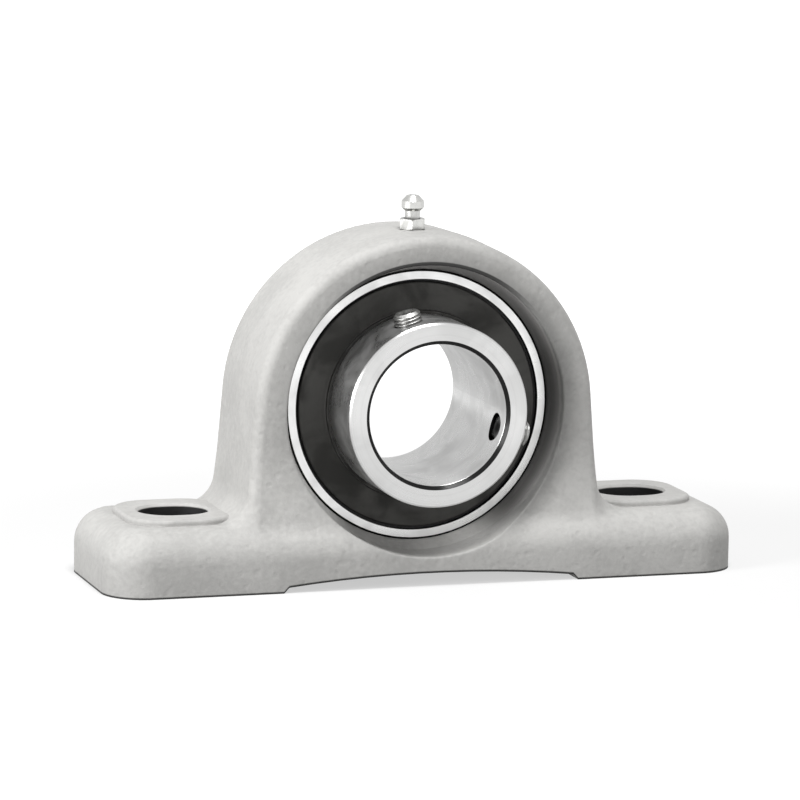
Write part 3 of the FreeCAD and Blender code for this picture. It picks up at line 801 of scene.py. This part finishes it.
@dataclass(frozen=True)
class Rubber(Finish):
    """Moulded seal rubber with a faint bloom."""

    bloom: Color = (0.075, 0.075, 0.078)
    bloom_size: float = 6.0 * MM
    bloom_roughness: float = 0.15
    grain: float = 0.3 * MM
    grain_depth: float = 0.02 * MM
    grain_strength: float = 0.4

    def dress(self, sheet: PieceSheet, shader: bpy.types.Node) -> None:
        """Mix the black with its bloom, and give it a fine moulded grain."""
        handled = Handling().place(sheet, Point=sheet.point, Size=self.bloom_size)
        color = sheet.blend(handled["Smear"], opaque(self.color), opaque(self.bloom))
        sheet.feed(shader.inputs["Base Color"], color)
        rough = sheet.times_plus(handled["Smear"], self.bloom_roughness, self.roughness)
        sheet.feed(shader.inputs["Roughness"], rough)
        grain = sheet.noise(sheet.point, self.grain, 2.0)
        bump = sheet.node("Bump", {"Strength": self.grain_strength, "Distance": self.grain_depth,
                                   "Height": grain})
        sheet.feed(shader.inputs["Normal"], bump.outputs[0])


COAT = CastIron("cast_coat", (0.535, 0.53, 0.515), 0.62)
# Painted shade and painted reflection on the rings: a darker bore, a darker outer cylinder of the inner ring
# for the dark flinger it reflects, a darker end face, and near-black lines at the set screw holes, the
# bore's chamfers, the counterbore and the outer ring's edge.
RING_SHADE_BANDS = (
    ShadeBand((0.0, 20.05 * MM), (0.0, 40.0 * MM), 0.68),
    ShadeBand((25.95 * MM, 26.6 * MM), (10.0 * MM, 29.9 * MM), 0.60),
    ShadeBand((21.1 * MM, 25.9 * MM), (30.0 * MM, 40.0 * MM), 0.74),
    ShadeBand((20.15 * MM, 25.8 * MM), (19.5 * MM, 29.1 * MM), 0.03),
    ShadeBand((20.1 * MM, 21.1 * MM), (17.9 * MM, 40.0 * MM), 0.03),
    ShadeBand((35.0 * MM, 35.9 * MM), (7.7 * MM, 12.0 * MM), 0.03),
    ShadeBand((38.15 * MM, 40.5 * MM), (9.0 * MM, 12.0 * MM), 0.03),
)
RING_STEEL = BareMetal("ground_ring_steel", (0.84, 0.84, 0.83), 0.27, wear=0.2, contrast=0.20, recess_shade=0.0,
                       shade_bands=RING_SHADE_BANDS)
FLINGER_STEEL = BareMetal("flinger_steel", (0.066, 0.065, 0.062), 0.42, depth=0.004 * MM, wear=0.1,
                          smear=0.2)
STRIP_STEEL = BareMetal("pressed_strip_steel", (0.58, 0.58, 0.57), 0.36, Marks.PRESSED)
WIRE_STEEL = BareMetal("spring_wire", (0.55, 0.55, 0.54), 0.30, Marks.PRESSED)
BALL_STEEL = BareMetal("polished_ball_steel", (0.90, 0.90, 0.90), 0.10, Marks.POLISHED, smear=0.04)
# The nipple gets full painted shade in its hollows and at its base on the casting.
NIPPLE_PLATE = BareMetal("bright_zinc_plate", (0.57, 0.57, 0.555), 0.16, Marks.POLISHED, smear=0.5,
                         recess_shade=1.0)
# Painted shade: the screw's end inside the inner ring is near black.
SCREW_PLATE = BareMetal("bright_screw_plate", (0.58, 0.58, 0.57), 0.32, Marks.POLISHED, wear=0.25,
                        shade_bands=(ShadeBand((0.0, 23.0 * MM), (0.0, 40.0 * MM), 0.04),))
SEAL_RUBBER = Rubber("seal_rubber", (0.022, 0.022, 0.023), 0.55)


def put_in(name: str, data: bpy.types.ID) -> bpy.types.Object:
    """Add an object with its data to the scene."""
    made = bpy.data.objects.new(name, data)
    bpy.context.scene.collection.objects.link(made)
    return made


def surface(name: str, points: np.ndarray, closed: bool = True) -> bpy.types.Object:
    """Mesh over a grid of points whose second direction goes round.

    Each face joins grid points (i, j), (i, j + 1), (i + 1, j + 1) and (i + 1, j), with j taken
    modulo the number of columns. Rows that shrink to one point are merged, and so are equal rows.

    Args:
        name: Name of the piece.
        points: Array of rows by columns by 3, in metres.
        closed: Whether the first and last rows are capped.

    Returns:
        The new object, at the origin.
    """
    rows, columns = points.shape[:2]
    row, column = np.meshgrid(np.arange(rows - 1), np.arange(columns), indexing="ij")
    beside = (column + 1) % columns
    faces = np.stack([row * columns + column, row * columns + beside,
                      (row + 1) * columns + beside, (row + 1) * columns + column], -1).reshape(-1, 4)
    mesh = bpy.data.meshes.new(name)
    caps = []
    if closed:
        caps = [list(range(columns)), list(range((rows - 1) * columns, rows * columns))]
    mesh.from_pydata(points.reshape(-1, 3).tolist(), [], faces.tolist() + caps)
    shape = bmesh.new()
    shape.from_mesh(mesh)
    bmesh.ops.remove_doubles(shape, verts=shape.verts, dist=MERGE_DISTANCE)
    bmesh.ops.recalc_face_normals(shape, faces=shape.faces)
    shape.to_mesh(mesh)
    shape.free()
    mesh.shade_smooth()
    mesh.set_sharp_from_angle(angle=SHARP_ANGLE)
    return put_in(name, mesh)


def axis_frame(axis: np.ndarray) -> np.ndarray:
    """Three unit vectors as rows, the last along the axis and the first square to it and to Y.

    The first is Y crossed with the axis, and the second is the axis crossed with the first.
    """
    along = axis / np.linalg.norm(axis)
    first = np.cross((0.0, 1.0, 0.0), along)
    first /= np.linalg.norm(first)
    return np.stack([first, np.cross(along, first), along])


def centre_of(node: str) -> np.ndarray:
    """Middle of a node's box at rest."""
    low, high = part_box(node)
    return (np.array(low) + np.array(high)) / 2


def joint_row(name: str) -> dict:
    """The model's row for a joint."""
    return next(joint for joint in frame["joints"] if joint["name"] == name)


def dress_nodes(finish: Finish, *nodes: str) -> None:
    """Give nodes of the model a finish.

    Args:
        finish: The finish to give.
        nodes: Names of the nodes.
    """
    for node in nodes:
        mesh = frame["nodes"][node].data
        mesh.materials.clear()
        mesh.materials.append(finish.material())
        LOG.info("node %s has %s", node, finish.name)


def dress_piece(piece: bpy.types.Object, finish: Finish, body: str) -> None:
    """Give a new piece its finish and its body.

    Args:
        piece: The new piece.
        finish: The finish to give.
        body: Body that it moves with.
    """
    piece.data.materials.append(finish.material())
    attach(piece, body)
    LOG.info("piece %s has %d faces and rides on %s", piece.name, len(piece.data.polygons), body)


class SubAssembly(ABC):
    """A group of pieces that a fitter would handle together."""

    @abstractmethod
    def build(self) -> None:
        """Make the group's own pieces and dress its nodes."""


@dataclass
class Casting(SubAssembly):
    """The housing."""

    def build(self) -> None:
        """Dress the housing."""
        dress_nodes(COAT, "housing")


@dataclass
class Insert(SubAssembly):
    """The bearing insert: rings, flingers, seals, cage, balls and locating pin."""

    balls: int = 9

    def build(self) -> None:
        """Dress every piece of the insert."""
        dress_nodes(RING_STEEL, "outer_ring", "inner_ring", "locating_pin")
        dress_nodes(FLINGER_STEEL, "flinger_front", "flinger_rear")
        dress_nodes(SEAL_RUBBER, "seal_front", "seal_rear")
        dress_nodes(STRIP_STEEL, "seal_core_front", "seal_core_rear")
        dress_nodes(STRIP_STEEL, "cage_front", "cage_rear", "cage_rivets")
        dress_nodes(BALL_STEEL, *(f"ball_{number + 1}" for number in range(self.balls)))


@dataclass
class SetScrews(SubAssembly):
    """The threaded screws that hold the shaft."""

    count: int = 2
    radius: float = 4.0 * MM
    length: float = 8.5 * MM
    pitch: float = 1.0 * MM
    thread_depth: float = 0.55 * MM
    chamfer: float = 0.8 * MM
    cup_radius: float = 2.5 * MM
    cup_depth: float = 1.0 * MM
    socket: float = 4.0 * MM
    socket_depth: float = 4.0 * MM
    crest_gain: float = 1.25
    root_flat: float = 0.06
    floor_cone: float = 0.6 * MM
    sides: int = 96
    rows_per_turn: int = 14

    def thread(self, angle: np.ndarray, height: np.ndarray) -> np.ndarray:
        """Radius of the threaded side.

        The share of a turn from crest to crest is height / pitch - angle / full turn. The radius drops
        from the crest by the depth times a flattened triangle wave of that share, and is held under the
        45 degree chamfers of both ends.

        Args:
            angle: Angles round the screw.
            height: Heights above its point.

        Returns:
            The radii, in metres.
        """
        share = (height / self.pitch - angle / (2 * np.pi)) % 1.0
        wave = np.clip(self.crest_gain * np.abs(2 * share - 1) - self.root_flat, 0, 1)
        side = self.radius - self.thread_depth * (1 - wave)
        near_end = np.minimum(height, self.length - height)
        return np.minimum(side, self.radius - self.chamfer + near_end)

    def hexagon(self, angle: np.ndarray) -> np.ndarray:
        """Radius of the socket: half the width across flats over the cosine of the angle off a flat."""
        off_flat = (angle + np.pi / 6) % (np.pi / 3) - np.pi / 6
        return self.socket / 2 / np.cos(off_flat)

    def profile(self) -> np.ndarray:
        """Grid of the screw's surface on its own axis, from the middle of its cup to the socket's floor.

        Each row has its own radius and height: a cone for the cup, the threaded side, the flat end drawn
        in to the hexagon, the hexagon's walls and a shallow cone for its floor.

        Returns:
            Array of rows by columns by 3, as x, y and height.
        """
        angle = np.linspace(0, 2 * np.pi, self.sides, endpoint=False)[None, :]
        ones = np.ones_like(angle)
        cup = np.linspace(0, 1, 5)[:, None]
        turns = int(self.length / self.pitch * self.rows_per_turn)
        side = np.linspace(0, self.length, turns)[:, None]
        share = np.linspace(0, 1, 5)[1:, None]
        top = self.thread(angle, np.full((1, 1), self.length))
        hexagon = self.hexagon(angle)
        floor = self.length - self.socket_depth
        rows = [
            (cup * self.cup_radius * ones, self.cup_depth * (1 - cup) * ones),
            (self.thread(angle, side * ones), side * ones),
            (top + (hexagon - top) * share, self.length * np.ones_like(share) * ones),
            (hexagon * np.ones_like(share), (self.length - self.socket_depth * share) * ones),
            (hexagon * (1 - share), (floor - self.floor_cone * share) * ones),
        ]
        radius = np.concatenate([r for r, _ in rows])
        height = np.concatenate([h for _, h in rows])
        return np.stack([radius * np.cos(angle), radius * np.sin(angle), height], -1)

    def build(self) -> None:
        """Put a threaded screw in the place of each plain one."""
        for number in range(1, self.count + 1):
            node = f"set_screw_{number}"
            axes = axis_frame(-np.array(joint_row(f"{node}_advance")["axis"], float))
            points = self.profile() - (0, 0, self.length / 2)
            piece = surface(f"{node}_threaded", points @ axes + centre_of(node), closed=False)
            dress_piece(piece, SCREW_PLATE, node)
            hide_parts(node)
            dress_nodes(SCREW_PLATE, node)


@dataclass
class Nipple(SubAssembly):
    """The grease nipple with its check ball and spring."""

    wire: float = 0.30 * MM
    turns: float = 7.0
    per_turn: int = 36
    around: int = 10

    def coil(self) -> np.ndarray:
        """Grid of the spring's surface.

        The wire's middle is a helix, (R cos t, R sin t, z0 + rise t), and round it goes a circle of the
        wire's radius in the plane of the helix's outward and its binormal directions.

        Returns:
            Array of rows by columns by 3, in metres.
        """
        low, high = (np.array(corner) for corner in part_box("nipple_spring"))
        middle = (low + high) / 2
        half = self.wire / 2
        radius = (high[0] - low[0]) / 2 - half
        rise = (high[2] - low[2] - self.wire) / (2 * np.pi * self.turns)
        turn = np.linspace(0, 2 * np.pi * self.turns, int(self.turns * self.per_turn))[:, None]
        outward = np.stack([np.cos(turn), np.sin(turn), np.zeros_like(turn)], -1)
        ahead = np.stack([-radius * np.sin(turn), radius * np.cos(turn), np.full_like(turn, rise)], -1)
        ahead /= np.linalg.norm(ahead, axis=-1, keepdims=True)
        binormal = np.cross(ahead, outward)
        around = np.linspace(0, 2 * np.pi, self.around, endpoint=False)[None, :, None]
        start = np.array([middle[0], middle[1], low[2] + half])
        line = start + outward * radius + np.stack([0 * turn, 0 * turn, rise * turn], -1)
        return line + half * (np.cos(around) * outward + np.sin(around) * binormal)

    def build(self) -> None:
        """Dress the nipple and its ball, and put in a coiled spring in the place of the plain one, riding on
        the housing.
        """
        dress_nodes(NIPPLE_PLATE, "grease_nipple")
        dress_nodes(BALL_STEEL, "nipple_ball")
        dress_nodes(WIRE_STEEL, "nipple_spring")
        piece = surface("nipple_spring_coil", self.coil())
        dress_piece(piece, WIRE_STEEL, "housing")
        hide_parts("nipple_spring")
        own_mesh(piece)


@dataclass(frozen=True)
class SoftLight:
    """One lamp with a wide soft face."""

    name: str
    place: tuple[float, float, float]
    width: float
    power: float

    def build(self, target: Vector) -> None:
        """Hang the lamp and turn it to the target."""
        lamp = bpy.data.lights.new(self.name, "AREA")
        lamp.shape = "DISK"
        lamp.size = self.width
        lamp.energy = self.power
        holder = put_in(self.name, lamp)
        holder.location = self.place
        holder.rotation_euler = (target - Vector(self.place)).to_track_quat("-Z", "Y").to_euler()


@dataclass
class Studio:
    """Camera, lamps, pale surroundings and floor."""

    camera_place: tuple[float, float, float] = (-0.40840, -1.26578, 0.26363)
    camera_yaw: float = 17.807
    camera_pitch: float = 9.173
    camera_roll: float = 0.8766
    camera_lens: float = 212.72
    sensor: float = 36.0
    ambient: float = 0.32
    floor_shade: float = 0.40
    floor_roughness: float = 0.9
    floor_half: float = 6.0
    floor_lift: float = 0.55
    clear_from: float = 0.12
    clear_at: float = 0.45
    lights: tuple[SoftLight, ...] = (
        SoftLight("top_lamp", (0.0, -0.46, 1.57), 0.7, 18.5),
        SoftLight("side_lamp", (-1.48, -0.50, 0.42), 0.7, 17.5),
    )

    def camera(self) -> None:
        """Set up the camera from its heading, its tilt down and its roll.

        Ahead is (sin yaw cos pitch, cos yaw cos pitch, -sin pitch) and right is (cos yaw, -sin yaw, 0).
        Up is right crossed with ahead, and the roll turns right and up about ahead.
        """
        yaw, pitch, roll = (math.radians(a) for a in (self.camera_yaw, self.camera_pitch, self.camera_roll))
        ahead = Vector((math.sin(yaw) * math.cos(pitch), math.cos(yaw) * math.cos(pitch), -math.sin(pitch)))
        right = Vector((math.cos(yaw), -math.sin(yaw), 0.0))
        up = right.cross(ahead)
        turned = right * math.cos(roll) + up * math.sin(roll)
        up = up * math.cos(roll) - right * math.sin(roll)
        data = bpy.data.cameras.new("camera")
        data.sensor_width = self.sensor
        data.lens = self.camera_lens
        data.clip_start, data.clip_end = 0.01, 100.0
        holder = put_in("camera", data)
        turn = Matrix((turned, up, -ahead)).transposed()
        holder.matrix_world = Matrix.Translation(self.camera_place) @ turn.to_4x4()
        bpy.context.scene.camera = holder

    def shown_directly(self, sheet: Sheet) -> Socket:
        """One for rays from the camera and for mirror and clear rays, and otherwise nought."""
        rays = sheet.node("LightPath").outputs
        mirror = sheet.math("MAXIMUM", rays["Is Camera Ray"], rays["Is Glossy Ray"])
        return sheet.math("MAXIMUM", mirror, rays["Is Transmission Ray"])

    def surroundings(self) -> None:
        """White all round where it is seen, and a lower level where it lights the object."""
        world = bpy.data.worlds.new("surroundings")
        bpy.context.scene.world = world
        world.use_nodes = True
        world.node_tree.nodes.clear()
        sheet = Sheet(world.node_tree)
        strength = sheet.spread(self.shown_directly(sheet), 0.0, 1.0, self.ambient, 1.0)
        light = sheet.node("Background", {"Color": opaque((1.0, 1.0, 1.0)), "Strength": strength})
        out = sheet.node("OutputWorld")
        world.node_tree.links.new(light.outputs[0], out.inputs[0])

    def floor(self) -> None:
        """Pale floor that keeps the object's shadow and is lifted to white for the camera."""
        half = self.floor_half
        mesh = bpy.data.meshes.new("floor")
        corners = [(-half, -half, 0), (half, -half, 0), (half, half, 0), (-half, half, 0)]
        mesh.from_pydata(corners, [], [(0, 1, 2, 3)])
        holder = put_in("floor", mesh)
        material = bpy.data.materials.new("floor")
        material.use_nodes = True
        sheet = Sheet(material.node_tree)
        shader = next(node for node in material.node_tree.nodes if node.type == "BSDF_PRINCIPLED")
        shader.inputs["Base Color"].default_value = opaque((self.floor_shade,) * 3)
        shader.inputs["Roughness"].default_value = self.floor_roughness
        shader.inputs["Specular IOR Level"].default_value = 0.0
        shader.inputs["Emission Color"].default_value = opaque((1.0, 1.0, 1.0))
        away = sheet.node("VectorMath", {0: sheet.object_point()}, operation="LENGTH").outputs["Value"]
        lift = sheet.spread(away, self.clear_from, self.clear_at, self.floor_lift, 1.0)
        lift = sheet.times(self.shown_directly(sheet), lift)
        sheet.feed(shader.inputs["Emission Strength"], lift)
        mesh.materials.append(material)

    def build(self) -> None:
        """Put up the studio round the object."""
        self.camera()
        self.surroundings()
        self.floor()
        target = Vector((0.0, 0.0, SHAFT_HEIGHT))
        for light in self.lights:
            light.build(target)
        bpy.context.scene.view_settings.view_transform = "Standard"
        LOG.info("studio is up with %d lamps", len(self.lights))


def main() -> None:
    """Build the sub-assemblies in order and then the studio."""
    logging.basicConfig(level=logging.INFO, format="%(name)s: %(message)s")
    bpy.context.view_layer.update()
    for group in (Casting(), Insert(), SetScrews(), Nipple()):
        group.build()
    Studio().build()


if __name__ == "__main__":
    main()
